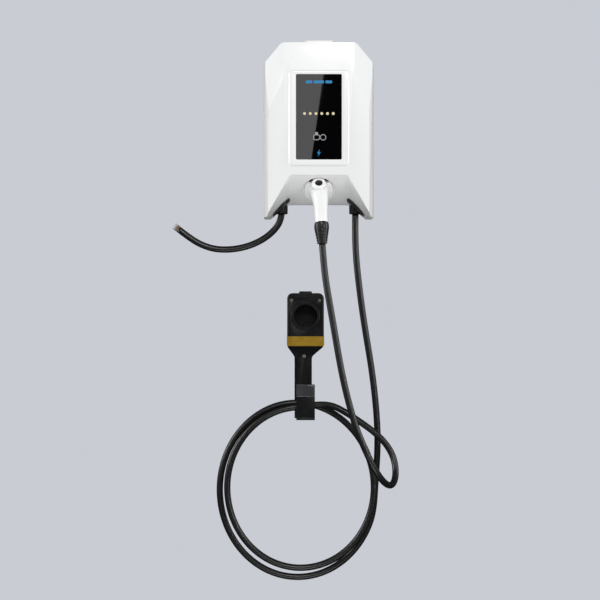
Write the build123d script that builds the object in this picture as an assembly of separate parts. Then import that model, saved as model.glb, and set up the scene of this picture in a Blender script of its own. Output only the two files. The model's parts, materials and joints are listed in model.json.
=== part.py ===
from build123d import *

import math
import os

# Wall-mounted electric-car charger: a wallbox with a docked charging gun, and below it a separate
# holder with a parking socket and a hook that carries the coiled charging cable.
# Millimetres, +Z up, the wall is the plane Y = 0 and the front faces -Y. The origin is the centre
# of the wallbox's wall-screw pattern, on the wall.

# ---- driving dimensions: wallbox -----------------------------------------------------------
HALF_W = 117.7  # half width of the wallbox
TOP_Z = 180.0
BOTTOM_Z = -190.0
TOP_FLAT = 79.0  # half length of the flat top edge
CORNER_DROP = 43.0  # height of the cut top corners
FRONT_Y = -128.0  # main front face
SPLIT_Y = -48.0  # joint between rear housing and front cover
BACK_Y = -8.0  # rear face of the housing's back wall, which stands off the wall
WALL = 3.0

CREASE_X = 75.0  # the front face's upper side creases
CREASE_Z = 102.0  # height where the creases start to slant outwards
CREASE_LOW_X = 107.0
CREASE_LOW_Z = 36.0
SHOULDER_SLOPE = 0.5
SIDE_CHAMFER_DEPTH = 30.0

RIM_W, RIM_TOP, RIM_BOTTOM = 129.0, 121.0, -83.0  # raised frame round the display
RIM_RISE = 2.5
SCREEN_W, SCREEN_TOP, SCREEN_BOTTOM = 97.0, 112.0, -69.0
SCREEN_T = 2.5
SCREEN_R = 3.0
FRAME_CORNER_R = 8.0
SCREEN_POCKET = SCREEN_T + 0.2

# ---- underside recess ----------------------------------------------------------------------
CEILING_R = 194.0  # the recess ceiling is an arc of this radius about CEILING_Y0, CEILING_Z0
CEILING_Y0 = 10.2
CEILING_Z0 = 35.2
MOUTH_TOP_HALF, MOUTH_LOW_HALF = 61.5, 112.0
REAR_TOP_HALF, REAR_LOW_HALF = 65.0, 105.0
RECESS_CORNER_R = 10.0

# ---- holster and charging gun --------------------------------------------------------------
DOCK_TILT = 40.0  # the docking axis points this far below horizontal, away from the wall
DOCK_Y, DOCK_Z = -95.0, -131.0  # centre of the holster's mouth
BOSS_R, BOSS_BORE_R, BOSS_DEPTH = 34.5, 31.3, 42.0
SOCKET_BORE_R = 27.0
COLLAR_R = 30.7
BARREL_R = 21.9
BARREL_LENGTH = 36.0
BUTTON_TILT = 35.0  # the release button's axis points this far above horizontal
BUTTON_R = 7.8
GRIP_WALL = 2.6

# ---- cables and glands ---------------------------------------------------------------------
CABLE_D = 14.0
GLAND_X, GLAND_Y = 80.0, -50.0
GLAND_R = 13.4
GLAND_BOTTOM = -181.0
GLAND_THREAD_R = 10.5
SEAT_R = 18.5
SEAT_T = 4.0

# ---- holder --------------------------------------------------------------------------------
HOLDER_X = -28.0
HOLDER_W = 80.0
HOLDER_TOP = -352.0
HOLDER_FRONT = -44.0
PARK_Z = -402.0  # centre of the parking socket
PARK_R = 25.0
PARK_RING_R = 31.5
LABEL_TOP, LABEL_BOTTOM = -446.0, -467.0
NECK_TOP, NECK_BOTTOM = -469.0, -491.0
STEM_W = 38.0
STEM_X = -33.0  # the stem stands a little to the left under the head
STEM_T = 14.0
HOOK_W = 40.0
HOOK_FRONT = -80.0
HOOK_LIP_T = 13.0
HOOK_TOP, HOOK_FLOOR, HOOK_BOTTOM = -549.0, -612.5, -626.0

# ---- coil ----------------------------------------------------------------------------------
COIL_X, COIL_Z = -44.0, -780.0
COIL_RX, COIL_RZ = 178.0, 197.5
COIL_HOLE_X, COIL_HOLE_Z = -38.3, -774.8
COIL_HOLE_RX, COIL_HOLE_RZ = 155.3, 166.8
COIL_BACK, COIL_FRONT = -20.0, -50.0

os.makedirs("parts", exist_ok=True)
nodes = {}


def keep(name, shape):
    """Files a finished sub-part under its node name."""
    nodes[name] = shape
    return shape


def bar(x, y, z):
    """A box from three (low, high) pairs."""
    size = [high - low for low, high in (x, y, z)]
    centre = [(low + high) / 2 for low, high in (x, y, z)]
    return Pos(*centre) * Box(*size)


def rod(radius, start, end):
    """A cylinder between two points."""
    axis = Vector(*end) - Vector(*start)
    plane = Plane(origin=start, z_dir=axis)
    return extrude(plane * Circle(radius), axis.length)


def group(shapes):
    """Separate solids kept together in one node."""
    return Compound(children=[solid for shape in shapes for solid in shape.solids()])


def on_y(sketch, y, depth):
    """A sketch drawn in X and Z, set at y and extruded towards the wall."""
    front = Plane(origin=(0, y, 0), x_dir=(1, 0, 0), z_dir=(0, -1, 0))
    return extrude(front * sketch, -depth)


# ---- wallbox housing -----------------------------------------------------------------------
def outline(inset):
    """The wallbox's front outline, moved inwards."""
    half, top, low = HALF_W - inset, TOP_Z - inset, BOTTOM_Z + inset
    cut = inset * 0.6  # a cut corner keeps its distance from the outer one
    corners = [
        (-half, low),
        (half, low),
        (half, TOP_Z - CORNER_DROP - cut),
        (TOP_FLAT - cut, top),
        (-TOP_FLAT + cut, top),
        (-half, TOP_Z - CORNER_DROP - cut),
    ]
    sketch = make_face(Polyline(*corners, close=True))
    upper = sketch.vertices().filter_by(lambda v: v.Y > 0)
    return fillet(upper, 14)


def side_cut(inset, side):
    """What the long chamfer takes off one side of the front."""
    front = FRONT_Y + inset
    x = CREASE_LOW_X - inset * 0.8
    run = HALF_W - CREASE_LOW_X
    points = [
        (side * x, front - 20),
        (side * x, front),
        (side * (x + run * 2), front + SIDE_CHAMFER_DEPTH * 2),
        (side * (x + 60), front + SIDE_CHAMFER_DEPTH * 2),
        (side * (x + 60), front - 20),
    ]
    base = Plane.XY.offset(-250)
    return extrude(base * make_face(Polyline(*points, close=True)), 500)


def shoulder_cut(inset, side):
    """What the sloping shoulder takes off one upper corner of the front."""
    front = FRONT_Y + inset
    reach = 150
    wedge = [
        (0, front),
        (0, front - 20),
        (reach, front - 20),
        (reach, front + SHOULDER_SLOPE * reach),
    ]
    upright = extrude(Plane.XY.offset(-300) * make_face(Polyline(*wedge, close=True)), 600)
    lean = math.degrees(math.atan2(CREASE_LOW_X - CREASE_X, CREASE_Z - CREASE_LOW_Z))
    upper = Pos(CREASE_X - inset * 0.8, 0, 0) * upright
    slanted = Pos(CREASE_X - inset, 0, CREASE_Z) * Rot(0, -lean, 0) * upright
    cut = upper & slanted
    return cut if side > 0 else mirror(cut, Plane.YZ)


def ceiling(y):
    """Height of the recess ceiling at y."""
    return CEILING_Z0 - math.sqrt(CEILING_R**2 - (y - CEILING_Y0) ** 2)


def recess(grow):
    """The space under the wallbox, its walls moved outwards by grow."""
    sections = []
    for y in (-150, -128, -100, -70, -40, -10, 6):
        share = (y + 128) / 118
        top_half = MOUTH_TOP_HALF + share * (REAR_TOP_HALF - MOUTH_TOP_HALF) + grow
        low_half = MOUTH_LOW_HALF + share * (REAR_LOW_HALF - MOUTH_LOW_HALF) + grow
        top = ceiling(max(y, -140)) + grow
        slope = (low_half - top_half) / (top - grow - BOTTOM_Z)
        low = BOTTOM_Z - 12
        reach = top_half + slope * (top - grow - low)
        corners = [(-reach, low), (reach, low), (top_half, top), (-top_half, top)]
        sketch = make_face(Polyline(*corners, close=True))
        sketch = fillet(sketch.vertices().filter_by(lambda v: v.Y > low + 1), RECESS_CORNER_R)
        plane = Plane(origin=(0, y, 0), x_dir=(1, 0, 0), z_dir=(0, -1, 0))
        sections.append(plane * sketch)
    return loft(sections)


def housing(inset, back):
    """The wallbox's body as a solid, its faces moved inwards by inset."""
    front = FRONT_Y + inset
    body = on_y(outline(inset), front, back - front)
    for side in (-1, 1):
        body -= side_cut(inset, side)
        body -= shoulder_cut(inset, side)
    return body


def dock(x, up, out):
    """A point in the dock's own frame: across, up across the axis, and out along the axis."""
    tilt = math.radians(DOCK_TILT)
    y = DOCK_Y - up * math.sin(tilt) - out * math.cos(tilt)
    z = DOCK_Z + up * math.cos(tilt) - out * math.sin(tilt)
    return (x, y, z)


def dock_plane(out, up=0.0, x=0.0):
    """A plane across the docking axis, whose normal points out of the holster."""
    tilt = math.radians(DOCK_TILT)
    normal = (0, -math.cos(tilt), -math.sin(tilt))
    return Plane(origin=dock(x, up, out), x_dir=(1, 0, 0), z_dir=normal)


def dock_tube(outer, inner, start, end):
    """A tube along the docking axis, from start to end."""
    ring = Circle(outer) - Circle(inner) if inner else Circle(outer)
    return extrude(dock_plane(start) * ring, end - start)


def centred(width, top, bottom, radius):
    """A rounded rectangle between two heights."""
    return Pos(0, (top + bottom) / 2) * RectangleRounded(width, top - bottom, radius)


def gland_cut(side):
    """The clearance for a cable gland and its slanted seat."""
    x = side * GLAND_X
    return rod(GLAND_THREAD_R + 0.4, (x, GLAND_Y, -200), (x, GLAND_Y, -120))


def seat_slope(side):
    """The slanted wall's low and high ends across a gland, as (x, z) points."""
    share = (GLAND_Y + 128) / 118
    top_half = MOUTH_TOP_HALF + share * (REAR_TOP_HALF - MOUTH_TOP_HALF)
    low_half = MOUTH_LOW_HALF + share * (REAR_LOW_HALF - MOUTH_LOW_HALF)
    top = ceiling(GLAND_Y)
    return (side * top_half, top), (side * low_half, BOTTOM_Z)


def gland_seat(side):
    """A rubber seat lying on the slanted wall, its outline round when seen along the gland."""
    (x0, z0), (x1, z1) = seat_slope(side)
    run = Vector(x1 - x0, 0, z1 - z0).normalized()
    normal = Vector(-side * abs(run.Z), 0, -abs(run.X))
    middle = Vector((x0 + x1) / 2, GLAND_Y, (z0 + z1) / 2)
    plane = Plane(origin=middle - normal * 2.0, x_dir=run, z_dir=normal)
    slab = extrude(plane * Rectangle(120, 80), SEAT_T + 2.0)
    post = rod(SEAT_R, (side * GLAND_X, GLAND_Y, -230), (side * GLAND_X, GLAND_Y, -100))
    return slab & post


body_outer = housing(0, 0.0)
body_inner = housing(WALL, BACK_Y - WALL)
rear_well = on_y(outline(WALL), BACK_Y, -BACK_Y + 5)
recess_outer = recess(0)
recess_inner = recess(WALL)
rim = on_y(centred(RIM_W, RIM_TOP, RIM_BOTTOM, FRAME_CORNER_R), FRONT_Y - RIM_RISE, RIM_RISE)
rim_edges = rim.faces().sort_by(Axis.Y)[0].edges()
rim = chamfer(rim_edges, RIM_RISE - 0.1)
shell = body_outer - body_inner - rear_well + rim
floor_zone = recess_inner & body_outer
shell += floor_zone
shell -= recess_outer
screen_y = FRONT_Y - RIM_RISE + 0.4
pocket_outline = centred(SCREEN_W + 0.4, SCREEN_TOP + 0.2, SCREEN_BOTTOM - 0.2, SCREEN_R)
pocket = on_y(pocket_outline, screen_y - 2, 2 + SCREEN_POCKET)
window_outline = centred(SCREEN_W - 12, SCREEN_TOP - 6, SCREEN_BOTTOM + 6, SCREEN_R)
light_hole = on_y(window_outline, screen_y, 12)
shell -= pocket + light_hole
shell -= dock_tube(BOSS_R + 0.2, 0, -60, 60)
for side in (-1, 1):
    shell -= gland_seat(side) + gland_cut(side)
front_half = bar((-200, 200), (-200, SPLIT_Y), (-300, 300))
inside = bar((-200, 200), (FRONT_Y + WALL, BACK_Y - WALL), (BOTTOM_Z + WALL, 0))
panel_zone = recess(WALL) & inside
bottom_panel = shell & panel_zone
front_cover = (shell - panel_zone) & front_half
rear_housing = (shell - panel_zone) - front_half

# Cover screws come in from behind, so the front shows none: each has a post on the cover.
COVER_SCREWS = [(-98, 120), (98, 120), (-104, -60), (104, -60)]
SCREW_R, HEAD_R, HEAD_T = 2.0, 4.0, 2.6
SCREW_POST_R = 6.0
for x, z in COVER_SCREWS:
    post = rod(SCREW_POST_R, (x, FRONT_Y, z), (x, SPLIT_Y, z)) & body_outer
    front_cover += post - rod(SCREW_R, (x, SPLIT_Y - 16, z), (x, SPLIT_Y, z))
    rear_housing += rod(SCREW_POST_R, (x, SPLIT_Y, z), (x, BACK_Y - WALL, z))
    rear_housing -= rod(HEAD_R + 0.4, (x, SPLIT_Y + 6, z), (x, 0, z))
    rear_housing -= rod(SCREW_R + 0.3, (x, -60, z), (x, 0, z))
cover_screws = []
for x, z in COVER_SCREWS:
    head = rod(HEAD_R, (x, SPLIT_Y + 6, z), (x, SPLIT_Y + 6 + HEAD_T, z))
    cover_screws.append(head + rod(SCREW_R, (x, SPLIT_Y - 14, z), (x, SPLIT_Y + 6, z)))
keep("cover_screws", group(cover_screws))

# A low ridge on top of the cover, where a rain hood clips on.
RIDGE_W, RIDGE_H = 62.0, 6.0
RIDGE_FRONT, RIDGE_BACK = -121.0, -70.0
ridge = bar((-RIDGE_W / 2, RIDGE_W / 2), (RIDGE_FRONT, RIDGE_BACK), (TOP_Z - 1, TOP_Z + RIDGE_H))
ridge = fillet(ridge.edges().filter_by(Axis.Z), 6)
front_cover += fillet(ridge.faces().sort_by(Axis.Z)[-1].edges(), 3)

# ---- wall bracket and its screws -----------------------------------------------------------
BOLT_X, BOLT_Z = 150.0, 240.0  # spacing of the wall screws
BOLT_R = 3.0
SHOULDER = 0.2  # a wall screw is this much thicker where it passes through the part
BRACKET_T = 2.5
BRACKET_W, BRACKET_H = 176.0, 280.0
bracket = on_y(RectangleRounded(BRACKET_W, BRACKET_H, 8), -BRACKET_T, BRACKET_T)
bracket -= on_y(RectangleRounded(110, 190, 10), -BRACKET_T - 1, BRACKET_T + 2)
for z in (-112, 112):
    tab = bar((-40, 40), (BACK_Y + 0.3, -BRACKET_T), (z - 8, z - 5))
    bracket += tab
wall_bolts = [(x * BOLT_X / 2, z * BOLT_Z / 2) for x in (-1, 1) for z in (-1, 1)]
for x, z in wall_bolts:
    bracket -= rod(BOLT_R + SHOULDER, (x, -10, z), (x, 10, z))


def wall_screw(x, z, radius, head_r, face, reach):
    """A round-head wall screw whose shank stands out behind the wall plane as a stud."""
    head = rod(head_r, (x, face - 2.8, z), (x, face, z))
    head = fillet(head.edges().sort_by(Axis.Y)[0], 1.2)
    slot = bar((x - 0.6, x + 0.6), (face - 3, face - 1.6), (z - 2.4, z + 2.4))
    slot += bar((x - 2.4, x + 2.4), (face - 3, face - 1.6), (z - 0.6, z + 0.6))
    shank = rod(radius, (x, face, z), (x, reach, z))
    shank = chamfer(shank.edges().sort_by(Axis.Y)[-1], 1.0)
    shank += rod(radius + SHOULDER, (x, face, z), (x, 0, z))
    return head - slot + shank


STUD_REACH = 32.0
wall_screws = [wall_screw(x, z, BOLT_R, 5.5, -BRACKET_T, STUD_REACH) for x, z in wall_bolts]
keep("wall_screws", group(wall_screws))

# Four screws hold the rear housing on spacers in front of the bracket.
HOUSING_SCREWS = [(-70, -85), (70, -85), (-70, 85), (70, 85)]
housing_screws, spacers = [], []
for x, z in HOUSING_SCREWS:
    rear_housing -= rod(SCREW_R + 0.3, (x, -20, z), (x, 0, z))
    spacer = rod(5, (x, BACK_Y, z), (x, -BRACKET_T, z))
    spacers.append(spacer - rod(SCREW_R + 0.3, (x, -20, z), (x, 10, z)))
    head = rod(HEAD_R, (x, BACK_Y - WALL - HEAD_T, z), (x, BACK_Y - WALL, z))
    housing_screws.append(head + rod(SCREW_R, (x, BACK_Y - WALL, z), (x, -0.4, z)))
    bracket -= rod(SCREW_R, (x, -10, z), (x, 10, z))
keep("wall_bracket", bracket)
keep("housing_spacers", group(spacers))
keep("housing_screws", group(housing_screws))

# A rubber seal sits in a groove between the two shells.
SEAL_LOW = -95.0
seal_ring = on_y(outline(1.0) - outline(2.0), SPLIT_Y - 1.2, 2.4)
housing_seal = seal_ring & bar((-200, 200), (-60, -40), (SEAL_LOW, 200))
front_cover -= housing_seal
rear_housing -= housing_seal
keep("housing_seal", housing_seal)
keep("rear_housing", rear_housing)

# ---- display -------------------------------------------------------------------------------
screen = on_y(centred(SCREEN_W, SCREEN_TOP, SCREEN_BOTTOM, SCREEN_R), screen_y, SCREEN_T)
MARK_T = 0.15  # printed marks are thin inlays flush with the glass
STRIP_Z, STRIP_W, STRIP_H = 95.5, 58.0, 6.0
LED_Z, LED_R, LED_PITCH, LED_COUNT = 28.4, 3.0, 12.2, 6
ICON_Z, BOLT_MARK_Z = -22.0, -55.0


def inlay(sketch, z, x=0.0):
    """A thin mark let into the front of the display glass."""
    return on_y(Pos(x, z) * sketch, screen_y, MARK_T)


strip_bars = ((14, -21), (22, 0), (14, 21))
strip = [inlay(RectangleRounded(w, STRIP_H, 1.4), STRIP_Z, x) for w, x in strip_bars]
led_places = [(i - (LED_COUNT - 1) / 2) * LED_PITCH for i in range(LED_COUNT)]
leds = [inlay(Circle(LED_R), LED_Z, x) for x in led_places]
plug_body = RectangleRounded(14, 12, 4) - RectangleRounded(11, 9, 2.8)
plug_mark = plug_body + Pos(0, 8.5) * RectangleRounded(6, 5, 1.4)
lead_mark = Pos(14, 0) * (Circle(6.5) - Circle(5.0)) - Pos(6, 0) * Rectangle(4, 4)
bolt_points = [(2, 8), (-4, -1), (-0.6, -1), (-2, -8), (4, 1.4), (0.6, 1.4)]
bolt_mark = make_face(Polyline(*bolt_points, close=True))
marks = {
    "status_strip": group(strip),
    "status_lights": group(leds),
    "plug_icon": group([inlay(plug_mark, ICON_Z, -5), inlay(lead_mark, ICON_Z, -5)]),
    "power_icon": inlay(bolt_mark, BOLT_MARK_Z),
}
for name, mark in marks.items():
    keep(name, mark)
    screen -= mark
keep("display_window", screen)

# ---- electronics ---------------------------------------------------------------------------
DISPLAY_BOARD_Y = -116.0
display_board = on_y(centred(88, 104, -60, 2), DISPLAY_BOARD_Y, 1.6)
for x in led_places:
    led_depth = (DISPLAY_BOARD_Y - 1.4, DISPLAY_BOARD_Y)
    display_board += bar((x - 1.8, x + 1.8), led_depth, (LED_Z - 1.4, LED_Z + 1.4))
display_board += bar((-14, 14), (DISPLAY_BOARD_Y + 1.6, DISPLAY_BOARD_Y + 7), (60, 68))
antenna = on_y(centred(56, 4, -50, 5) - centred(48, 0, -46, 3), DISPLAY_BOARD_Y + 3.4, 1.0)
for x in (-40, 40):
    for z in (-56, 100):
        display_board -= rod(1.6, (x, -125, z), (x, -105, z))
keep("display_board", display_board)
keep("card_antenna", antenna)

BOARD_Y = -26.0
control_board = on_y(centred(150, 160, -70, 3), BOARD_Y, 1.6)
parts_on_board = [
    bar((-60, -25), (BOARD_Y - 22, BOARD_Y), (95, 130)),
    bar((-15, 12), (BOARD_Y - 8, BOARD_Y), (100, 127)),
    bar((25, 60), (BOARD_Y - 16, BOARD_Y), (105, 140)),
    bar((-60, -30), (BOARD_Y - 12, BOARD_Y), (40, 70)),
    bar((30, 64), (BOARD_Y - 10, BOARD_Y), (40, 60)),
]
for block in parts_on_board:
    control_board += block
standoffs = []
for x in (-66, 66):
    for z in (-60, 150):
        control_board -= rod(1.6, (x, -50, z), (x, -10, z))
        standoffs.append(rod(4, (x, BOARD_Y + 1.6, z), (x, BACK_Y - WALL, z)))
keep("control_board", control_board)
keep("board_standoffs", group(standoffs))
relay = bar((-30, 25), (BOARD_Y - 40, BOARD_Y - 0.2), (-30, 25))
relay = fillet(relay.edges().filter_by(Axis.Y), 3)
keep("power_relay", relay)
sensor = rod(17, (48, BOARD_Y - 0.2, -10), (48, BOARD_Y - 18, -10))
sensor -= rod(9, (48, 0, -10), (48, -60, -10))
keep("leakage_sensor", sensor)
TERMINAL_W, TERMINAL_PITCH, TERMINAL_COUNT = 11.0, 12.0, 5
terminals = []
for i in range(TERMINAL_COUNT):
    x = -95.5 + i * TERMINAL_PITCH
    terminal = bar((x - TERMINAL_W / 2, x + TERMINAL_W / 2), (-50, BACK_Y - WALL), (-128, -92))
    terminals.append(terminal - rod(2.6, (x, -60, -110), (x, -36, -110)))
keep("terminal_block", group(terminals))

# ---- holster -------------------------------------------------------------------------------
LATCH_SLOT_W = 15.0
boss = dock_tube(BOSS_R, BOSS_BORE_R, -BOSS_DEPTH, 0)
boss = fillet(boss.edges().filter_by(GeomType.CIRCLE).group_by(Axis.Y)[0], 1.4)
boss += dock_tube(BOSS_R, SOCKET_BORE_R + 0.2, -BOSS_DEPTH, -BOSS_DEPTH + 3)
liner = dock_tube(BOSS_BORE_R, SOCKET_BORE_R, -BOSS_DEPTH + 3, -8)
liner = liner - extrude(dock_plane(-60) * Pos(0, 30) * Rectangle(LATCH_SLOT_W, 14), 80)
back_plate = dock_tube(BOSS_BORE_R, 0, -BOSS_DEPTH - 3, -BOSS_DEPTH)
keep("holster_boss", boss)
keep("holster_liner", liner)
keep("holster_back", back_plate)
keep("bottom_panel", bottom_panel)
keep("front_cover", front_cover)


# ---- charging gun --------------------------------------------------------------------------
def grip_loft(shrink, stations):
    """The gun's handle as a loft through ellipses: centre, normal, half width, half depth."""
    rings = []
    for centre, normal, half_w, half_d in stations:
        plane = Plane(origin=centre, x_dir=(1, 0, 0), z_dir=normal)
        rings.append(plane * Ellipse(half_w - shrink, half_d - shrink))
    return loft(rings)


AXIS = Vector(0, -math.cos(math.radians(DOCK_TILT)), -math.sin(math.radians(DOCK_TILT)))
PRESS = Vector(0, math.cos(math.radians(BUTTON_TILT)), -math.sin(math.radians(BUTTON_TILT)))
GRIP_END = (5.5, -137.0, -204.5)
GRIP_END_AXIS = Vector(0.06, -0.30, -0.95).normalized()
stations = [
    (dock(0, 0, 1.5), AXIS, 25.5, 25.5),
    (dock(1.2, -1, 14), Vector(0, -0.70, -0.72), 21.5, 24.5),
    ((3.2, -117.0, -158.0), Vector(0.03, -0.50, -0.86), 16.8, 20.0),
    ((4.4, -128.0, -180.0), Vector(0.05, -0.36, -0.93), 14.8, 17.0),
    (GRIP_END, GRIP_END_AXIS, 13.7, 15.0),
]
grip_outer = grip_loft(0, stations)
grip_inner = grip_loft(GRIP_WALL, stations)
BUTTON_AT = Vector(*dock(0, 30.0, 15.5))
NOSE_R, NOSE_LENGTH, BUTTON_LENGTH = 15.0, 28.0, 13.2
nose = rod(NOSE_R, BUTTON_AT + PRESS * NOSE_LENGTH, BUTTON_AT)
nose = fillet(nose.edges().filter_by(GeomType.CIRCLE).sort_by(Axis.Y)[0], 4.0)
nose_inner = rod(NOSE_R - GRIP_WALL, BUTTON_AT + PRESS * NOSE_LENGTH, BUTTON_AT + PRESS * GRIP_WALL)
button_bore = rod(BUTTON_R + 0.4, BUTTON_AT + PRESS * (BUTTON_LENGTH + 5), BUTTON_AT - PRESS * 4)
collar_front = dock_tube(COLLAR_R, 0, -6, 1.5)
collar_front = chamfer(collar_front.edges().filter_by(GeomType.CIRCLE).sort_by(Axis.Y)[0], 1.5)
NOTCH_ANGLE, NOTCH_W, NOTCH_H = 35.0, 11.0, 8.0
for sign in (-1, 1):
    notch = Rot(0, 0, sign * NOTCH_ANGLE) * Pos(0, 29.0) * SlotOverall(NOTCH_W, NOTCH_H)
    collar_front -= extrude(dock_plane(-8) * notch, 14)

# The latch lever lies over the barrel and dips under the release button, shown side on.
LATCH_PIVOT = (-12.0, 24.8)
LATCH_LIFT = 6.5
lever_points = [
    (-34, 23.3), (-34, 28), (-31.5, 28), (-29, 26.2), (-14, 27.2), (-9, 26), (4, 15.0), (9, 12.0),
    (9, 9.8), (3, 11.6), (-9, 22.4),
]
lever_face = make_face(Polyline(*lever_points, close=True))


def beside(sketch, half):
    """A sketch drawn as (out, up) beside the docking axis, extruded both ways across it."""
    plane = Plane(origin=(half, DOCK_Y, DOCK_Z), x_dir=AXIS, z_dir=(1, 0, 0))
    flip = plane.y_dir.Z < 0
    drawn = mirror(sketch, Plane.XZ) if flip else sketch
    return extrude(plane * drawn, -2 * half)


PIVOT_3D = Vector(*dock(0, LATCH_PIVOT[1], LATCH_PIVOT[0]))
lever = beside(lever_face, 3.0)
room = beside(offset(lever_face, 0.7), 3.6)
swing = Pos(*PIVOT_3D) * Rot(LATCH_LIFT + 1, 0, 0) * Pos(*(-PIVOT_3D)) * room
half_swing = Pos(*PIVOT_3D) * Rot(LATCH_LIFT / 2, 0, 0) * Pos(*(-PIVOT_3D)) * room
latch_room = room + swing + half_swing
pin = rod(1.5, PIVOT_3D - Vector(6.4, 0, 0), PIVOT_3D + Vector(6.4, 0, 0))
lever -= rod(1.55, PIVOT_3D - Vector(9, 0, 0), PIVOT_3D + Vector(9, 0, 0))
keep("gun_latch", lever)
keep("gun_latch_pin", pin)

barrel = dock_tube(BARREL_R, BARREL_R - 2.4, -BARREL_LENGTH, -6) + dock_tube(BARREL_R, 0, -12, -6)
cheeks = beside(Pos(LATCH_PIVOT[0], 22.9) * Rectangle(7, 6.4), 6.4)
barrel += cheeks - bar((-4.2, 4.2), (-250, 50), (-250, 50))
barrel -= latch_room + pin
insert = dock_tube(BARREL_R - 2.5, 0, -26, -12) - latch_room
PIN_RING = [(0, 6.8, 3.4), (-7.8, 2.5, 3.4), (7.8, 2.5, 3.4), (-5.6, -7.6, 2.6), (5.6, -7.6, 2.6)]
contacts = []
for x, up, r in PIN_RING:
    centre = Pos(x, up)
    insert -= extrude(dock_plane(-27) * centre * Circle(r), 15.1)
    ring = Circle(r - 0.05) - Circle(r - 1.1)
    contacts.append(extrude(dock_plane(-25.6) * centre * ring, 13.5))
keep("gun_contacts", group(contacts))
keep("gun_insert", insert)
keep("gun_barrel", barrel)

gun_collar = collar_front - latch_room - dock_tube(10, 0, -20, 10) - button_bore
past_collar = extrude(dock_plane(1.5) * Rectangle(200, 200), 400)
gun_shell = (grip_outer + nose) & past_collar
gun_shell -= grip_inner + nose_inner + button_bore + latch_room
GRIP_SCREWS = [(-122.0, -171.0), (-108.0, -146.0)]
GRIP_HEAD_X = 11.0
grip_screws = []
for y, z in GRIP_SCREWS:
    tower = rod(4.0, (-30, y, z), (30, y, z)) & grip_outer
    gun_shell += tower - rod(1.5, (-40, y, z), (40, y, z)) - latch_room
    gun_shell -= rod(2.9, (GRIP_HEAD_X, y, z), (60, y, z))
    head = rod(2.7, (GRIP_HEAD_X, y, z), (GRIP_HEAD_X + 2.0, y, z))
    head -= bar((GRIP_HEAD_X + 1.1, GRIP_HEAD_X + 3), (y - 2, y + 2), (z - 0.4, z + 0.4))
    grip_screws.append(head + rod(1.5, (-7, y, z), (GRIP_HEAD_X, y, z)))
BOOT_SEAT = 7.0
boot_root = rod(11.0, Vector(*GRIP_END) - GRIP_END_AXIS * BOOT_SEAT, GRIP_END)
gun_shell -= boot_root
left_side = bar((-80, -0.02), (-300, 50), (-300, 50))
right_side = bar((0.02, 80), (-300, 50), (-300, 50))
keep("gun_collar", gun_collar)
keep("gun_shell_left", gun_shell & left_side)
keep("gun_shell_right", gun_shell & right_side)
keep("gun_screws", group(grip_screws))

button = rod(BUTTON_R, BUTTON_AT + PRESS * (BUTTON_LENGTH + 0.6), BUTTON_AT + PRESS * 0.6)
button = fillet(button.edges().filter_by(GeomType.CIRCLE).sort_by(Axis.Y)[0], 1.6)
keep("gun_button", button)

# The cable's bend relief: a ribbed rubber boot from the handle's end down to the cable.
BOOT_END = (7.0, -141.5, -248.0)
BOOT_AXIS = Vector(0.05, -0.04, -0.998).normalized()
grip_end, boot_end = Vector(*GRIP_END), Vector(*BOOT_END)
boot_stations = [(0.0, 14.6), (0.12, 15.6), (0.35, 15.0), (0.65, 12.8), (1.0, 10.4)]
boot_rings = []
for share, radius in boot_stations:
    centre = grip_end * (1 - share) + boot_end * share
    normal = (GRIP_END_AXIS * (1 - share) + BOOT_AXIS * share).normalized()
    boot_rings.append(Plane(origin=centre, x_dir=(1, 0, 0), z_dir=normal) * Circle(radius))
boot = loft(boot_rings)
RIB_COUNT, RIB_DEPTH, RIB_W = 5, 1.0, 2.4
for i in range(RIB_COUNT):
    share = 0.36 + 0.56 * i / (RIB_COUNT - 1)
    centre = grip_end * (1 - share) + boot_end * share
    radius = 17.3 - 7.0 * share
    normal = (GRIP_END_AXIS * (1 - share) + BOOT_AXIS * share).normalized()
    plane = Plane(origin=centre, x_dir=(1, 0, 0), z_dir=normal)
    boot -= extrude(plane * (Circle(radius + 4) - Circle(radius - RIB_DEPTH)), RIB_W / 2, both=True)
boot += boot_root & rod(10.8, Vector(*GRIP_END) - GRIP_END_AXIS * 6.6, GRIP_END)
boot -= rod(CABLE_D / 2, boot_end - BOOT_AXIS * 10, boot_end + BOOT_AXIS * 5)
keep("gun_boot", boot)
clamp_at = Vector(*GRIP_END) - GRIP_END_AXIS * 14
clamp = rod(9.5, clamp_at - GRIP_END_AXIS * 3, clamp_at + GRIP_END_AXIS * 3)
clamp -= rod(5.0, clamp_at - GRIP_END_AXIS * 9, clamp_at + GRIP_END_AXIS * 9)
keep("gun_cable_clamp", clamp)

# ---- cable glands --------------------------------------------------------------------------
LOCKNUT_R = 15.0
seats, bodies, nuts, locknuts = [], [], [], []
for side in (-1, 1):
    top = (side * GLAND_X, GLAND_Y, -136)
    low = (side * GLAND_X, GLAND_Y, GLAND_BOTTOM)
    seat = gland_seat(side)
    foot, head = (side * GLAND_X, GLAND_Y, -260), (side * GLAND_X, GLAND_Y, -100)
    passage = rod(CABLE_D / 2 + 0.2, foot, head)
    seat -= rod(GLAND_THREAD_R, foot, head)
    thread = rod(GLAND_THREAD_R, top, low)
    nut = rod(GLAND_R, (side * GLAND_X, GLAND_Y, -162), low)
    nut = chamfer(nut.edges().filter_by(GeomType.CIRCLE).sort_by(Axis.Z)[0], 1.6)
    for i in range(12):
        turn = math.radians(i * 30)
        x = side * GLAND_X + (GLAND_R + 1.2) * math.cos(turn)
        y = GLAND_Y + (GLAND_R + 1.2) * math.sin(turn)
        nut -= rod(1.8, (x, y, -200), (x, y, -100))
    nut -= thread + seat
    nut -= shell
    seats.append(seat)
    bodies.append(thread - passage)
    nuts.append(nut.solids().sort_by(Axis.Z)[0])
    ring = rod(LOCKNUT_R, (side * GLAND_X, GLAND_Y, -140.5), (side * GLAND_X, GLAND_Y, -137))
    locknuts.append(ring - thread)
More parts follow.
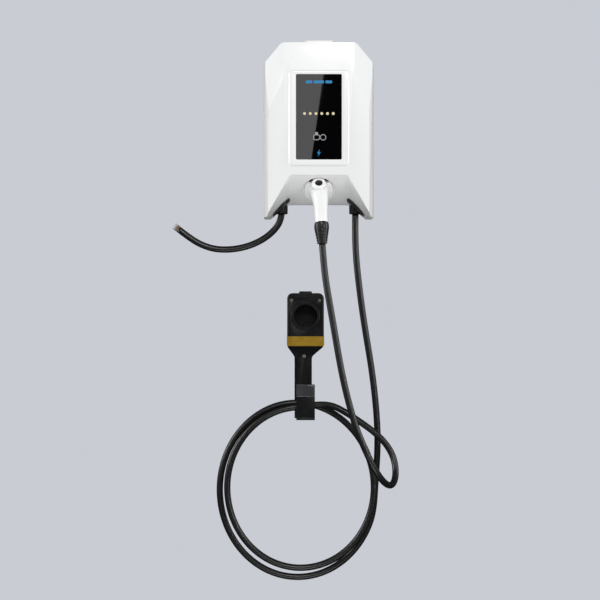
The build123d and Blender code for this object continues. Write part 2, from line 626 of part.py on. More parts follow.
gland_names = ["supply", "output"]
for name, seat, gland, nut in zip(gland_names, seats, bodies, nuts):
    keep(name + "_gland_seat", seat)
    keep(name + "_gland", gland)
    keep(name + "_gland_nut", nut)
keep("gland_locknuts", group(locknuts))

# ---- holder --------------------------------------------------------------------------------
stem_left, stem_right = STEM_X - HOLDER_X - STEM_W / 2, STEM_X - HOLDER_X + STEM_W / 2
half = HOLDER_W / 2
plate_points = [
    (-half, HOLDER_TOP), (half, HOLDER_TOP), (half, NECK_TOP),
    (stem_right, NECK_BOTTOM), (stem_right, HOOK_BOTTOM),
    (stem_left, HOOK_BOTTOM), (stem_left, NECK_BOTTOM), (-half, NECK_TOP),
]
plate_sketch = make_face(Polyline(*plate_points, close=True))
plate_sketch = fillet(plate_sketch.vertices().filter_by(lambda v: v.Y > -360), 12)
plate_sketch = fillet(plate_sketch.vertices().filter_by(lambda v: -500 < v.Y < -460), 12)
back_slab = Pos(HOLDER_X, 0, 0) * on_y(plate_sketch, -STEM_T, STEM_T)
head_points = [(-half, HOLDER_TOP), (half, HOLDER_TOP), (half, NECK_TOP - 2), (-half, NECK_TOP - 2)]
head_sketch = make_face(Polyline(*head_points, close=True))
head_sketch = fillet(head_sketch.vertices(), 12)
head = Pos(HOLDER_X, 0, 0) * on_y(head_sketch, HOLDER_FRONT, -HOLDER_FRONT)
head = chamfer(head.faces().sort_by(Axis.Y)[0].edges(), 2.0)
holder_body = back_slab + head
top_tab = bar((HOLDER_X - 14, HOLDER_X + 14), (-34, -10), (HOLDER_TOP - 2, HOLDER_TOP + 4))
holder_body += fillet(top_tab.edges().filter_by(Axis.Y), 2.5)
RING_PROUD = 2.0
PARK_DEPTH = 38.0
park_back = HOLDER_FRONT + PARK_DEPTH
holder_body -= rod(PARK_RING_R, (HOLDER_X, HOLDER_FRONT - 5, PARK_Z), (HOLDER_X, park_back, PARK_Z))
ring_front = (HOLDER_X, HOLDER_FRONT - RING_PROUD, PARK_Z)
park_ring = rod(PARK_RING_R, ring_front, (HOLDER_X, park_back, PARK_Z))
park_ring = fillet(park_ring.edges().filter_by(GeomType.CIRCLE).sort_by(Axis.Y)[0], 1.2)
park_ring -= rod(PARK_R, (HOLDER_X, -80, PARK_Z), (HOLDER_X, park_back - 3, PARK_Z))
keep("parking_socket", park_ring)
LABEL_T = 1.2
label_outline = centred(HOLDER_W + 1.0, LABEL_TOP, LABEL_BOTTOM, 3)
keep("holder_label", Pos(HOLDER_X, 0, 0) * on_y(label_outline, HOLDER_FRONT - LABEL_T, LABEL_T))
HOLDER_BOLT_X, HOLDER_BOLT_Z = 61.0, -368.0
HOLDER_BOLT_R = 2.5
CAP_R = 4.2
HOLDER_HEAD_Y = HOLDER_FRONT + 3.2  # the screw heads sit in counterbores
holder_screws = []
for x in (-HOLDER_BOLT_X / 2, HOLDER_BOLT_X / 2):
    at = HOLDER_X + x
    holder_body -= rod(HOLDER_BOLT_R + SHOULDER, (at, -80, HOLDER_BOLT_Z), (at, 5, HOLDER_BOLT_Z))
    holder_body -= rod(CAP_R + 0.3, (at, -80, HOLDER_BOLT_Z), (at, HOLDER_HEAD_Y, HOLDER_BOLT_Z))
    screw = wall_screw(at, HOLDER_BOLT_Z, HOLDER_BOLT_R, CAP_R, HOLDER_HEAD_Y, STUD_REACH)
    holder_screws.append(screw)
keep("holder_screws", group(holder_screws))
NECK_SCREW_X, NECK_SCREW_Z = -31.0, -490.0
NECK_HEAD_Y, NECK_HEAD_R = -STEM_T + 4, 4.6
neck_front = (NECK_SCREW_X, -80, NECK_SCREW_Z)
holder_body -= rod(HOLDER_BOLT_R + SHOULDER, neck_front, (NECK_SCREW_X, 5, NECK_SCREW_Z))
holder_body -= rod(NECK_HEAD_R + 0.4, neck_front, (NECK_SCREW_X, NECK_HEAD_Y, NECK_SCREW_Z))
neck_at = (NECK_SCREW_X, NECK_SCREW_Z)
keep("neck_screw", wall_screw(*neck_at, HOLDER_BOLT_R, NECK_HEAD_R, NECK_HEAD_Y, STUD_REACH))

hook_profile = [
    (-STEM_T, HOOK_FLOOR), (HOOK_FRONT + HOOK_LIP_T, HOOK_FLOOR),
    (HOOK_FRONT + HOOK_LIP_T, HOOK_TOP), (HOOK_FRONT, HOOK_TOP),
    (HOOK_FRONT, HOOK_BOTTOM), (-STEM_T, HOOK_BOTTOM),
]
side_plane = Plane(origin=(HOLDER_X - HOOK_W / 2, 0, 0), x_dir=(0, 1, 0), z_dir=(1, 0, 0))
hook_face = make_face(Polyline(*hook_profile, close=True))
hook_face = fillet(hook_face.vertices().filter_by(lambda v: v.X < -30 and v.Y < -600), 7)
hook = extrude(side_plane * hook_face, HOOK_W)
TIP_BOTTOM = -576.0
tip_depth = (HOOK_FRONT - 1, HOOK_FRONT + HOOK_LIP_T + 1)
tip_zone = bar((HOLDER_X - 40, HOLDER_X + 40), tip_depth, (TIP_BOTTOM, 0))
hook_tip = hook & tip_zone
hook -= tip_zone
hook_bolts = []
z = HOOK_BOTTOM + 8
for x in (STEM_X - 8, STEM_X + 12):
    holder_body -= rod(2.0, (x, -STEM_T - 1, z), (x, 1, z)) + rod(4.2, (x, -3, z), (x, 1, z))
    hook -= rod(1.9, (x, -STEM_T - 12, z), (x, 0, z))
    shank = rod(1.9, (x, -STEM_T - 11, z), (x, -3, z))
    hook_bolts.append(shank + rod(3.8, (x, -3, z), (x, -0.4, z)))
keep("holder_body", holder_body)
keep("cable_hook", hook)
keep("hook_tip", hook_tip)
keep("hook_screws", group(hook_bolts))

# ---- cables --------------------------------------------------------------------------------
# The charging cable leaves the output gland, hangs to the coil, makes nearly two turns that rest
# in the hook, leaves the hook to the right in a hanging loop and rises to the gun.
LEAD_ROUTE = [
    (80, -50, -181), (79.5, -50, -228), (82, -49, -280), (88, -47, -335),
    (95.5, -44, -392), (105, -41.5, -452), (115, -38, -511), (122.5, -35, -569),
    (127.5, -32, -622), (129.5, -30, -672), (128, -29, -718), (125, -29, -756),
]
GUN_ROUTE = [
    (7, -141.5, -248), (9.6, -144, -286), (15, -148, -332), (23, -152, -378),
    (32, -156, -430), (41, -160, -484), (51, -164, -536), (63, -168, -586),
    (77, -172, -634), (95, -174, -678), (115, -168, -720), (136, -151, -752),
    (155, -122, -764), (166, -91, -746), (164, -73, -711), (149, -67, -681),
    (124, -65, -655), (94, -65, -633), (64, -62, -613), (35, -55, -597), (8, -46, -593),
]
SUPPLY_ROUTE = [
    (-80, -50, -181), (-82, -50, -204), (-93, -50, -223), (-114, -49.5, -238),
    (-138, -49, -248), (-166, -48, -254.5), (-196, -47, -258), (-226, -46, -256.5),
    (-254, -45, -247.5), (-280, -44, -232), (-303, -43, -214),
]


def cable(name, route, diameter):
    """A cable along straight runs joined by arcs, each arc as large as its two runs allow."""
    points = [Vector(*p) for p in route]
    radii = []
    for before, at, after in zip(points, points[1:], points[2:]):
        turn = (at - before).get_angle(after - at)
        run = min((at - before).length, (after - at).length)
        radii.append(0.45 * run / math.tan(math.radians(turn / 2)))
    path = FilletPolyline(*points, radius=radii)
    start = Plane(origin=points[0], z_dir=points[1] - points[0])
    tube = sweep(start * Circle(diameter / 2), path=path)
    section = math.pi * diameter**2 / 4
    print(name, "radii", [round(r) for r in radii])
    ratio = tube.volume / (section * path.length)
    print(name, "length", round(path.length), "volume ratio", round(ratio, 4))
    return keep(name, tube)


cable("charging_cable_lead", LEAD_ROUTE, CABLE_D)
cable("charging_cable_end", GUN_ROUTE, CABLE_D)
cable("supply_cable", SUPPLY_ROUTE, CABLE_D)

coil_ring = Pos(COIL_X, COIL_Z) * Ellipse(COIL_RX, COIL_RZ)
coil_ring -= Pos(COIL_HOLE_X, COIL_HOLE_Z) * Ellipse(COIL_HOLE_RX, COIL_HOLE_RZ)
coil = on_y(coil_ring, COIL_FRONT, COIL_BACK - COIL_FRONT)
coil = chamfer(coil.edges(), 4.0)
keep("charging_cable_coil", coil)

# The supply cable ends cut and stripped short: the stubs of three cores with their ferrules.
CORE_R, FERRULE_R = 2.2, 1.3
end, before = Vector(*SUPPLY_ROUTE[-1]), Vector(*SUPPLY_ROUTE[-2])
along = (end - before).normalized()
across = along.cross(Vector(0, 1, 0)).normalized()
cores, ferrules = [], []
for spread in (-1, 0, 1):
    root = end + across * spread * 4.5
    tip = root + along * 9 + across * spread * 0.6
    heading = (tip - root).normalized()
    cores.append(rod(CORE_R, root, tip))
    ferrules.append(rod(FERRULE_R, tip, tip + heading * 4))
keep("supply_cores", group(cores))
keep("supply_ferrules", group(ferrules))

# ---- write ---------------------------------------------------------------------------------
for name, shape in nodes.items():
    export_step(shape, f"parts/{name}.step")
print(len(nodes), "nodes")
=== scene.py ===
"""A wall-mounted car charger, its docked charging gun, its cables and their wall holder.

Metres, +Z up, the front towards -Y. The wall's face is the plane y = 0, and the origin is the
middle of the wallbox's wall screws.
"""
import json
import math

import bmesh
import bpy
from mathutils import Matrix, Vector


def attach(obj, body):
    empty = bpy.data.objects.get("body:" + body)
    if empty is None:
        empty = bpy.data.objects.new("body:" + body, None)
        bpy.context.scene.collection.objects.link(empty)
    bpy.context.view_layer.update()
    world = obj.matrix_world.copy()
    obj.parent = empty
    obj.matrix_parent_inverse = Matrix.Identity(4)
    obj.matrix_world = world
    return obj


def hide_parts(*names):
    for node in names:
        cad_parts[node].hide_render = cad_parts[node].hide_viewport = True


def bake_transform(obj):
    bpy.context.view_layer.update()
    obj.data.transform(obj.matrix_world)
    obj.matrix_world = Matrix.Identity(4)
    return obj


MM = 0.001
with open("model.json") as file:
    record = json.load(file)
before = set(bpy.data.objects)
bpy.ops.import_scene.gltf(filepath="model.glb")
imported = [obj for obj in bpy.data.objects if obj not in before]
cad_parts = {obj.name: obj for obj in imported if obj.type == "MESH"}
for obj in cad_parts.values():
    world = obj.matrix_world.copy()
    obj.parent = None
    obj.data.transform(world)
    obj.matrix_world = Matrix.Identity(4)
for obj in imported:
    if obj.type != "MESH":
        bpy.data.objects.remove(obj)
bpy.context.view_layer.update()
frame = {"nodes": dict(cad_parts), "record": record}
nodes = frame["nodes"]

# ---- camera --------------------------------------------------------------------------------
CAMERA_DISTANCE = 3.6  # from the wall
FIELD = 1.32  # width seen at the wall
CAMERA_X, CAMERA_Z = -0.040, -0.367
FAR_CLIP = 50


def make_camera():
    """Square on to the wall, level with the space between wallbox and holder."""
    data = bpy.data.cameras.new("camera")
    data.angle = 2 * math.atan(FIELD / 2 / CAMERA_DISTANCE)
    data.clip_end = FAR_CLIP
    camera = bpy.data.objects.new("camera", data)
    camera.location = (CAMERA_X, -CAMERA_DISTANCE, CAMERA_Z)
    camera.rotation_euler = (math.radians(90), 0, 0)
    bpy.context.scene.collection.objects.link(camera)
    bpy.context.scene.camera = camera


# ---- small helpers -------------------------------------------------------------------------
STEPS_PER_SPAN = 12  # a cable's line, between two control points
TUBE_SIDES = 24


def new_object(name, mesh):
    """A new object in the scene, from a mesh or a curve."""
    obj = bpy.data.objects.new(name, mesh)
    bpy.context.scene.collection.objects.link(obj)
    return obj


def dress(obj, material):
    """Gives an object one material in every slot."""
    if not obj.data.materials:
        obj.data.materials.append(material)
    for slot in obj.material_slots:
        slot.material = material


def route_line(points):
    """The smooth line through a route: a quadratic NURBS spline, in metres."""
    curve = bpy.data.curves.new("route", "CURVE")
    curve.dimensions = "3D"
    spline = curve.splines.new("NURBS")
    spline.points.add(len(points) - 1)
    for point, place in zip(spline.points, points):
        point.co = (*(c * MM for c in place), 1)
    spline.order_u = 3
    spline.use_endpoint_u = True
    spline.resolution_u = STEPS_PER_SPAN
    holder = new_object("route_holder", curve)
    line = bpy.data.meshes.new_from_object(holder)
    path = [v.co.copy() for v in line.vertices]
    bpy.data.objects.remove(holder)
    bpy.data.curves.remove(curve)
    bpy.data.meshes.remove(line)
    return path


def tube_along(name, path, radius):
    """A capped round tube that follows a path untwisted, with UVs along and around it."""
    mesh = bpy.data.meshes.new(name)
    bm = bmesh.new()
    uv = bm.loops.layers.uv.new("along")
    tangent = (path[1] - path[0]).normalized()
    side = tangent.cross(Vector((0, 1, 0))).normalized()
    rings, travelled, distance = [], [], 0.0
    for i, place in enumerate(path):
        ahead = path[min(i + 1, len(path) - 1)]
        behind = path[max(i - 1, 0)]
        new_tangent = (ahead - behind).normalized()
        side = tangent.rotation_difference(new_tangent) @ side
        side = (side - new_tangent * side.dot(new_tangent)).normalized()
        tangent = new_tangent
        other = tangent.cross(side)
        if i:
            distance += (place - path[i - 1]).length
        travelled.append(distance)
        ring = []
        for k in range(TUBE_SIDES):
            turn = 2 * math.pi * k / TUBE_SIDES
            outward = side * math.cos(turn) + other * math.sin(turn)
            ring.append(bm.verts.new(place + radius * outward))
        rings.append(ring)
    for i in range(len(rings) - 1):
        for k in range(TUBE_SIDES):
            n = (k + 1) % TUBE_SIDES
            face = bm.faces.new((rings[i][k], rings[i][n], rings[i + 1][n], rings[i + 1][k]))
            face.smooth = True
            corners = ((k, i), (k + 1, i), (k + 1, i + 1), (k, i + 1))
            for loop, (around, step) in zip(face.loops, corners):
                loop[uv].uv = (around / TUBE_SIDES, travelled[step])
    bm.faces.new(list(reversed(rings[0])))
    bm.faces.new(rings[-1])
    bmesh.ops.recalc_face_normals(bm, faces=bm.faces)
    bm.to_mesh(mesh)
    bm.free()
    return new_object(name, mesh)


# ---- cable routes, in millimetres ----------------------------------------------------------
# They are the CAD's, but for the supply cable's first bend, which is up to 10 mm further left.
CABLE_D = 14.0
LEAD_ROUTE = [
    (80, -50, -181), (79.5, -50, -228), (82, -49, -280), (88, -47, -335),
    (95.5, -44, -392), (105, -41.5, -452), (115, -38, -511), (122.5, -35, -569),
    (127.5, -32, -622), (129.5, -30, -672), (128, -29, -718), (125, -29, -756),
]
GUN_ROUTE = [
    (7, -141.5, -248), (9.6, -144, -286), (15, -148, -332), (23, -152, -378),
    (32, -156, -430), (41, -160, -484), (51, -164, -536), (63, -168, -586),
    (77, -172, -634), (95, -174, -678), (115, -168, -720), (136, -151, -752),
    (155, -122, -764), (166, -91, -746), (164, -73, -711), (149, -67, -681),
    (124, -65, -655), (94, -65, -633), (64, -62, -613), (35, -55, -597), (8, -46, -593),
]
SUPPLY_ROUTE = [
    (-80, -50, -181), (-82.5, -50, -196), (-94, -50, -214), (-113, -49.5, -231),
    (-138, -49, -245), (-166, -48, -254), (-196, -47, -258), (-226, -46, -256.5),
    (-254, -45, -247.5), (-280, -44, -232), (-303, -43, -214),
]
# Each turn of the coil: centre x, centre z, half width, half height of the cable's centreline.
FIRST_TURN = (-45.0, -781.0, 171.5, 192.0)
SECOND_TURN = (-38.8, -774.5, 160.7, 176.0)
TURN_BACK_Y, TURN_FRONT_Y = -28.0, -43.0
POINTS_PER_TURN = 24
TURNS = 1.75
CHANGE_START, CHANGE_SHARE = 0.70, 0.30  # in turns: where the first turn passes into the second


def coil_points():
    """Nearly two loose turns, from the right side down, round and over the hook twice."""
    points = []
    for step in range(1, round(POINTS_PER_TURN * TURNS) + 1):
        turns = step / POINTS_PER_TURN
        share = min(max((turns - CHANGE_START) / CHANGE_SHARE, 0), 1)
        share = share * share * (3 - 2 * share)
        cx, cz, rx, rz = (a + (b - a) * share for a, b in zip(FIRST_TURN, SECOND_TURN))
        angle = 2 * math.pi * turns
        y = TURN_BACK_Y + (TURN_FRONT_Y - TURN_BACK_Y) * share
        points.append((cx + rx * math.cos(angle), y, cz - rz * math.sin(angle)))
    return points


def charging_route():
    """The whole charging cable, from its gland to the gun's boot."""
    return LEAD_ROUTE + coil_points() + list(reversed(GUN_ROUTE))


# ---- materials -----------------------------------------------------------------------------
made = {}
MIDDLE_LOW, MIDDLE_HIGH = 0.3, 0.7  # most of a noise texture's values lie between these
DRIFT_SCALE, GLOSS_SCALE, GRAIN_STRENGTH, COAT_ROUGHNESS = 14, 160, 0.35, 0.12  # mouldings
TARNISH_SCALE, BRUSH_SCALE, BRUSH_STRENGTH, BRUSH_DEPTH = 60, 900, 0.3, 0.00005  # metals

# Mouldings: dark and light shade, roughness from and to, grain per metre, its height, coat.
MOULDINGS = {
    "white_housing": ((0.815, 0.815, 0.815), (0.825, 0.825, 0.825), (0.27, 0.30), 2600, 2e-6, 0.4),
    "white_gun": ((0.88, 0.88, 0.875), (0.89, 0.89, 0.885), (0.18, 0.24), 3000, 4e-6, 0.4),
    "black_moulding": (
        (0.0020, 0.0024, 0.0032), (0.0040, 0.0044, 0.0055), (0.30, 0.40), 2400, 8e-5, 0),
    "black_rubber": ((0.010, 0.010, 0.010), (0.018, 0.018, 0.018), (0.26, 0.36), 1700, 5e-5, 0),
    "hook_polished": ((0.028, 0.028, 0.031), (0.050, 0.050, 0.054), (0.08, 0.14), 150, 1.2e-3, 1),
    "grey_moulding": ((0.30, 0.31, 0.32), (0.38, 0.39, 0.40), (0.40, 0.52), 2200, 8e-5, 0),
    "solder_mask": ((0.008, 0.070, 0.026), (0.016, 0.100, 0.040), (0.25, 0.35), 1200, 5e-5, 0),
    "core_insulation": ((0.16, 0.09, 0.045), (0.22, 0.13, 0.07), (0.35, 0.45), 1500, 3e-5, 0),
}
# Metals: dark and light shade, roughness from and to.
METALS = {
    "zinc": ((0.55, 0.56, 0.57), (0.70, 0.70, 0.70), (0.28, 0.42)),
    "brass_plated": ((0.55, 0.50, 0.36), (0.72, 0.68, 0.52), (0.22, 0.38)),
    "copper": ((0.60, 0.28, 0.15), (0.75, 0.40, 0.22), (0.25, 0.35)),
    "silver": ((0.80, 0.80, 0.78), (0.88, 0.88, 0.86), (0.15, 0.25)),
}
FOIL_DARK, FOIL_LIGHT, FOIL_ROUGHNESS = (0.36, 0.21, 0.014), (0.44, 0.27, 0.03), (0.26, 0.34)
FOIL_STRETCH, FOIL_SCALE, FOIL_METALLIC = (0.05, 1.0, 1.0), 500, 0.45
# Noise textures: scale, detail, coordinates, stretch. Bumps: strength, height in metres.
SHEATH_DARK, SHEATH_LIGHT = (0.0035, 0.0035, 0.0045), (0.0065, 0.0065, 0.0080)
SHEATH_CLOUD = (9, 4, "UV", (1.0, 3.0, 1.0))
SHEATH_LINES, LINES_BUMP = (30, 3, "UV", (6.0, 0.6, 1.0)), (0.10, 6e-5)
SHEATH_FINE, FINE_BUMP = (900, 2, "UV", (0.05, 1.0, 1.0)), (0.10, 3e-5)
SHEATH_ROUGHNESS, SHEATH_SPECULAR = (0.30, 0.40), 0.9
GLASS_DARK, GLASS_LIGHT = (0.0002, 0.0002, 0.0005), (0.0005, 0.0005, 0.0009)
GLASS_SMEAR, GLASS_ROUGHNESS = (22, 5, "Object", (1.0, 1.0, 0.35)), (0.005, 0.02)
# Lit marks: colour and strength.
LIT_MARKS = {
    "blue_light": ((0.03, 0.40, 0.85), 0.42),
    "amber_light": ((1.0, 0.86, 0.55), 0.62),
    "white_light": ((0.90, 0.95, 1.00), 0.24),
}
UNLIT_SHARE = 0.15  # of its colour, that a lit mark's own surface keeps
DIMMEST_SHARE = 0.8  # of its strength, at a lit mark's dimmest place
LIT_NOISE, LIT_ROUGHNESS = (240, 2), 0.25


def material(name):
    """A new node material: its tree and its shader."""
    mat = bpy.data.materials.new(name)
    mat.use_nodes = True
    made[name] = mat
    return mat.node_tree, mat.node_tree.nodes["Principled BSDF"]


def noise(tree, scale, detail=3.0, coordinates="Object", stretch=None):
    """A noise texture in the object's metres, or along a UV map."""
    place = tree.nodes.new("ShaderNodeTexCoord")
    output = place.outputs[coordinates]
    if stretch:
        mapping = tree.nodes.new("ShaderNodeMapping")
        mapping.inputs["Scale"].default_value = stretch
        tree.links.new(output, mapping.inputs["Vector"])
        output = mapping.outputs["Vector"]
    texture = tree.nodes.new("ShaderNodeTexNoise")
    texture.inputs["Scale"].default_value = scale
    texture.inputs["Detail"].default_value = detail
    tree.links.new(output, texture.inputs["Vector"])
    return texture.outputs["Fac"]


def spread(tree, value, low, high):
    """Maps a texture's middle range to low..high."""
    node = tree.nodes.new("ShaderNodeMapRange")
    node.inputs["From Min"].default_value = MIDDLE_LOW
    node.inputs["From Max"].default_value = MIDDLE_HIGH
    node.inputs["To Min"].default_value = low
    node.inputs["To Max"].default_value = high
    tree.links.new(value, node.inputs["Value"])
    return node.outputs["Result"]


def tint(tree, value, dark, light):
    """A colour that drifts between two near shades."""
    ramp = tree.nodes.new("ShaderNodeValToRGB")
    ramp.color_ramp.elements[0].position = MIDDLE_LOW
    ramp.color_ramp.elements[1].position = MIDDLE_HIGH
    ramp.color_ramp.elements[0].color = (*dark, 1)
    ramp.color_ramp.elements[1].color = (*light, 1)
    tree.links.new(value, ramp.inputs["Fac"])
    return ramp.outputs["Color"]


def bump(tree, value, strength, distance, normal=None):
    """A bump node; normal chains a coarser bump into a finer one."""
    node = tree.nodes.new("ShaderNodeBump")
    node.inputs["Strength"].default_value = strength
    node.inputs["Distance"].default_value = distance
    tree.links.new(value, node.inputs["Height"])
    if normal:
        tree.links.new(normal, node.inputs["Normal"])
    return node.outputs["Normal"]


def moulded(name, dark, light, rough, grain, grain_height, coat):
    """Moulded plastic: slight colour drift, uneven gloss and a fine grain."""
    tree, shader = material(name)
    drift = noise(tree, DRIFT_SCALE)
    tree.links.new(tint(tree, drift, dark, light), shader.inputs["Base Color"])
    gloss = noise(tree, GLOSS_SCALE, 5)
    tree.links.new(spread(tree, gloss, *rough), shader.inputs["Roughness"])
    shader.inputs["Coat Weight"].default_value = coat
    shader.inputs["Coat Roughness"].default_value = COAT_ROUGHNESS
    normal = bump(tree, noise(tree, grain, 4), GRAIN_STRENGTH, grain_height)
    tree.links.new(normal, shader.inputs["Normal"])


def metal(name, dark, light, rough, stretch=(1, 1, 1), scale=BRUSH_SCALE, metallic=1.0):
    """Plated or brushed metal with fine lines along the short side of stretch."""
    tree, shader = material(name)
    tarnish = noise(tree, TARNISH_SCALE)
    tree.links.new(tint(tree, tarnish, dark, light), shader.inputs["Base Color"])
    lines = noise(tree, scale, 6, "Object", stretch)
    tree.links.new(spread(tree, lines, *rough), shader.inputs["Roughness"])
    tree.links.new(bump(tree, lines, BRUSH_STRENGTH, BRUSH_DEPTH), shader.inputs["Normal"])
    shader.inputs["Metallic"].default_value = metallic


def sheath():
    """The cables' sheath: black rubber with fine lines along it and a dusty sheen."""
    tree, shader = material("cable_sheath")
    cloud = noise(tree, *SHEATH_CLOUD)
    tree.links.new(tint(tree, cloud, SHEATH_DARK, SHEATH_LIGHT), shader.inputs["Base Color"])
    lines = noise(tree, *SHEATH_LINES)
    fine = noise(tree, *SHEATH_FINE)
    tree.links.new(spread(tree, lines, *SHEATH_ROUGHNESS), shader.inputs["Roughness"])
    normal = bump(tree, lines, *LINES_BUMP)
    tree.links.new(bump(tree, fine, *FINE_BUMP, normal), shader.inputs["Normal"])
    shader.inputs["Specular IOR Level"].default_value = SHEATH_SPECULAR


def glass_black():
    """The display's polished black front, with faint smears."""
    tree, shader = material("display_glass")
    smear = noise(tree, *GLASS_SMEAR)
    tree.links.new(tint(tree, smear, GLASS_DARK, GLASS_LIGHT), shader.inputs["Base Color"])
    tree.links.new(spread(tree, smear, *GLASS_ROUGHNESS), shader.inputs["Roughness"])


def lit_mark(name, color, strength):
    """A back-lit mark on the display, a little uneven as LEDs behind a print are."""
    tree, shader = material(name)
    glow = spread(tree, noise(tree, *LIT_NOISE), strength * DIMMEST_SHARE, strength)
    tree.links.new(glow, shader.inputs["Emission Strength"])
    shader.inputs["Base Color"].default_value = (*(part * UNLIT_SHARE for part in color), 1)
    shader.inputs["Emission Color"].default_value = (*color, 1)
    shader.inputs["Roughness"].default_value = LIT_ROUGHNESS


def make_materials():
    """Every finish in the tables above."""
    for name, look in MOULDINGS.items():
        moulded(name, *look)
    for name, look in METALS.items():
        metal(name, *look)
    metal("gold_foil", FOIL_DARK, FOIL_LIGHT, FOIL_ROUGHNESS,
          FOIL_STRETCH, FOIL_SCALE, FOIL_METALLIC)
    sheath()
    glass_black()
    for name, look in LIT_MARKS.items():
        lit_mark(name, *look)


SLOT_MATERIAL = {
    "housing_white": "white_housing",
    "gun_white": "white_gun",
    "black_rubber": "black_rubber",
    "zinc_steel": "zinc",
    "black_plastic": "black_moulding",
    "display_glass": "display_glass",
    "blue_mark": "blue_light",
    "amber_mark": "amber_light",
    "white_mark": "white_light",
    "circuit_board": "solder_mask",
    "copper_coil": "copper",
    "grey_plastic": "grey_moulding",
    "contact_silver": "silver",
    "gold_label": "gold_foil",
    "brass_screw": "brass_plated",
    "hook_grey": "hook_polished",
    "cable_black": "cable_sheath",
    "core_plastic": "core_insulation",
}


# Rounding of the big parts' edges: radius in millimetres.
ROUNDED = {
    "front_cover": 3.0,
    "rear_housing": 1.5,
    "bottom_panel": 0.8,
    "holder_body": 1.2,
    "cable_hook": 1.5,
    "hook_tip": 2.0,
}
WELD_DISTANCE = 0.00002
FLAT_ANGLE, SHARP_ANGLE = math.radians(0.6), math.radians(25)
ROUNDING_SEGMENTS = 3


def dress_cad():
    """Every CAD node gets its slot's detailed material."""
    for entry in frame["record"]["subparts"]:
        obj = nodes[entry["node"]]
        dress(obj, made[SLOT_MATERIAL[entry["material_slot"]]])


def slot_of(node):
    """The record's material slot of a CAD node."""
    return next(e["material_slot"] for e in frame["record"]["subparts"] if e["node"] == node)


def body_of(node):
    """The body that a CAD node rides on."""
    bodies = frame["record"]["behaviour"]["bodies"]
    return next(body for body, members in bodies.items() if node in members)


def soften(node, width):
    """A copy of a CAD node with clean flat faces and rounded edges, which stands for it."""
    mesh = nodes[node].data.copy()
    bm = bmesh.new()
    bm.from_mesh(mesh)
    bmesh.ops.remove_doubles(bm, verts=bm.verts, dist=WELD_DISTANCE)
    bmesh.ops.dissolve_limit(bm, angle_limit=FLAT_ANGLE, verts=bm.verts, edges=bm.edges)
    bm.to_mesh(mesh)
    bm.free()
    mesh.polygons.foreach_set("use_smooth", [True] * len(mesh.polygons))
    obj = new_object(node + "_finished", mesh)
    edge = obj.modifiers.new("rounding", "BEVEL")
    edge.limit_method = "ANGLE"
    edge.angle_limit = SHARP_ANGLE
    edge.width = width * MM
    edge.segments = ROUNDING_SEGMENTS
    edge.harden_normals = True
    edge.use_clamp_overlap = True
    dress(obj, made[SLOT_MATERIAL[slot_of(node)]])
    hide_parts(node)
    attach(obj, body_of(node))


# ---- lights and background -----------------------------------------------------------------
BACKDROP = (0.584, 0.604, 0.651)  # seen by the camera
AMBIENT = (0.98, 0.99, 1.0)  # the studio's light from all round
DIFFUSE_STRENGTH, MIRRORED_STRENGTH = 0.62, 0.03  # how bright it lights, and how bright it reflects


def make_world():
    """A plain pale grey-blue surround; what lights the object is a little dimmer."""
    world = bpy.data.worlds.new("world")
    bpy.context.scene.world = world
    world.use_nodes = True
    tree = world.node_tree
    seen = tree.nodes["Background"]
    seen.inputs["Color"].default_value = (*BACKDROP, 1)
    light = tree.nodes.new("ShaderNodeBackground")
    light.inputs["Color"].default_value = (*AMBIENT, 1)
    light.inputs["Strength"].default_value = DIFFUSE_STRENGTH
    mirrored = tree.nodes.new("ShaderNodeBackground")
    mirrored.inputs["Color"].default_value = (*AMBIENT, 1)
    mirrored.inputs["Strength"].default_value = MIRRORED_STRENGTH
    path = tree.nodes.new("ShaderNodeLightPath")
    by_ray = tree.nodes.new("ShaderNodeMixShader")
    tree.links.new(path.outputs["Is Glossy Ray"], by_ray.inputs["Fac"])
    tree.links.new(light.outputs["Background"], by_ray.inputs[1])
    tree.links.new(mirrored.outputs["Background"], by_ray.inputs[2])
    mix = tree.nodes.new("ShaderNodeMixShader")
    tree.links.new(path.outputs["Is Camera Ray"], mix.inputs["Fac"])
    tree.links.new(by_ray.outputs["Shader"], mix.inputs[1])
    tree.links.new(seen.outputs["Background"], mix.inputs[2])
    tree.links.new(mix.outputs["Shader"], tree.nodes["World Output"].inputs["Surface"])


# Lamps: place, aim, width, height, power.
LAMPS = {
    "key": ((0.1, -3.4, 1.5), (0, -0.1, 0), 1.0, 0.7, 28.5),
    "left": ((-2.1, -2.3, 0.5), (0, -0.1, -0.2), 0.20, 1.8, 5),
    "right": ((2.0, -2.3, -0.1), (0, -0.1, -0.4), 0.20, 2.0, 13),
    "left_side": ((-1.8, -0.35, 0.1), (0, -0.1, 0), 0.4, 1.0, 11),
    "right_side": ((1.8, -0.35, 0.1), (0, -0.1, 0), 0.4, 1.0, 8),
    "low": ((0.0, -2.2, -2.4), (0, -0.1, -0.1), 1.2, 0.6, 9.5),
}
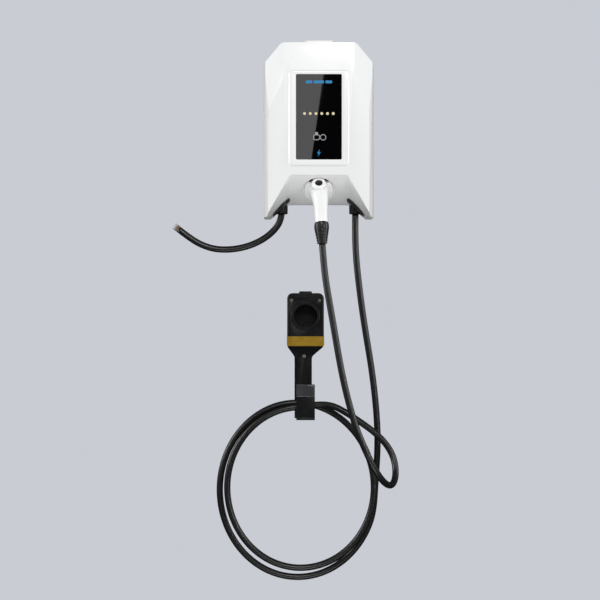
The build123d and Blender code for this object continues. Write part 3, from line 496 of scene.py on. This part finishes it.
# A tall card behind the camera shows as the slanted sheen on the display's left part. It is
# placed by its right edge, which the display mirrors from the camera's side.
CARD_EDGE_TOP, CARD_EDGE_LOW = Vector((0.0653, -4.0, 0.646)), Vector((0.0108, -4.0, 0.263))
CARD_WIDTH, CARD_HEIGHT, CARD_POWER = 0.20, 0.50, 0.66


def area_light(name, place, aim, width, height, power):
    """A soft rectangular lamp at place that points at aim."""
    data = bpy.data.lights.new(name, "AREA")
    data.shape = "RECTANGLE"
    data.size, data.size_y = width, height
    data.energy = power
    lamp = bpy.data.objects.new(name, data)
    lamp.location = place
    lamp.rotation_euler = (Vector(aim) - Vector(place)).to_track_quat("-Z", "Y").to_euler()
    bpy.context.scene.collection.objects.link(lamp)
    return lamp


def make_lights():
    """The lamps, and the card that the display mirrors."""
    for name, lamp in LAMPS.items():
        area_light(name, *lamp)
    edge = CARD_EDGE_TOP - CARD_EDGE_LOW
    slant = math.atan2(edge.x, edge.z)
    across = Vector((math.cos(slant), 0, -math.sin(slant)))
    middle = (CARD_EDGE_TOP + CARD_EDGE_LOW) / 2 - across * CARD_WIDTH / 2
    ahead = middle + Vector((0, 1, 0))
    card = area_light("card", middle, ahead, CARD_WIDTH, CARD_HEIGHT, CARD_POWER)
    card.rotation_euler = (math.radians(90), 0, 0)
    card.rotation_euler.rotate_axis("Z", -slant)


def make_cables():
    """Both cables, smooth from end to end, in place of their CAD solids."""
    charging_path = route_line(charging_route())
    supply_path = route_line(SUPPLY_ROUTE)
    charging = tube_along("charging_cable", charging_path, CABLE_D / 2 * MM)
    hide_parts("charging_cable_lead", "charging_cable_coil", "charging_cable_end")
    supply = tube_along("supply_cable_sheath", supply_path, CABLE_D / 2 * MM)
    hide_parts("supply_cable")
    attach(supply, "root")
    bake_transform(charging)
    for tube in (charging, supply):
        dress(tube, made["cable_sheath"])


make_camera()
make_world()
make_lights()
make_materials()
dress_cad()
bpy.context.scene.view_settings.view_transform = "Standard"
make_cables()
for part, radius in ROUNDED.items():
    soften(part, radius)
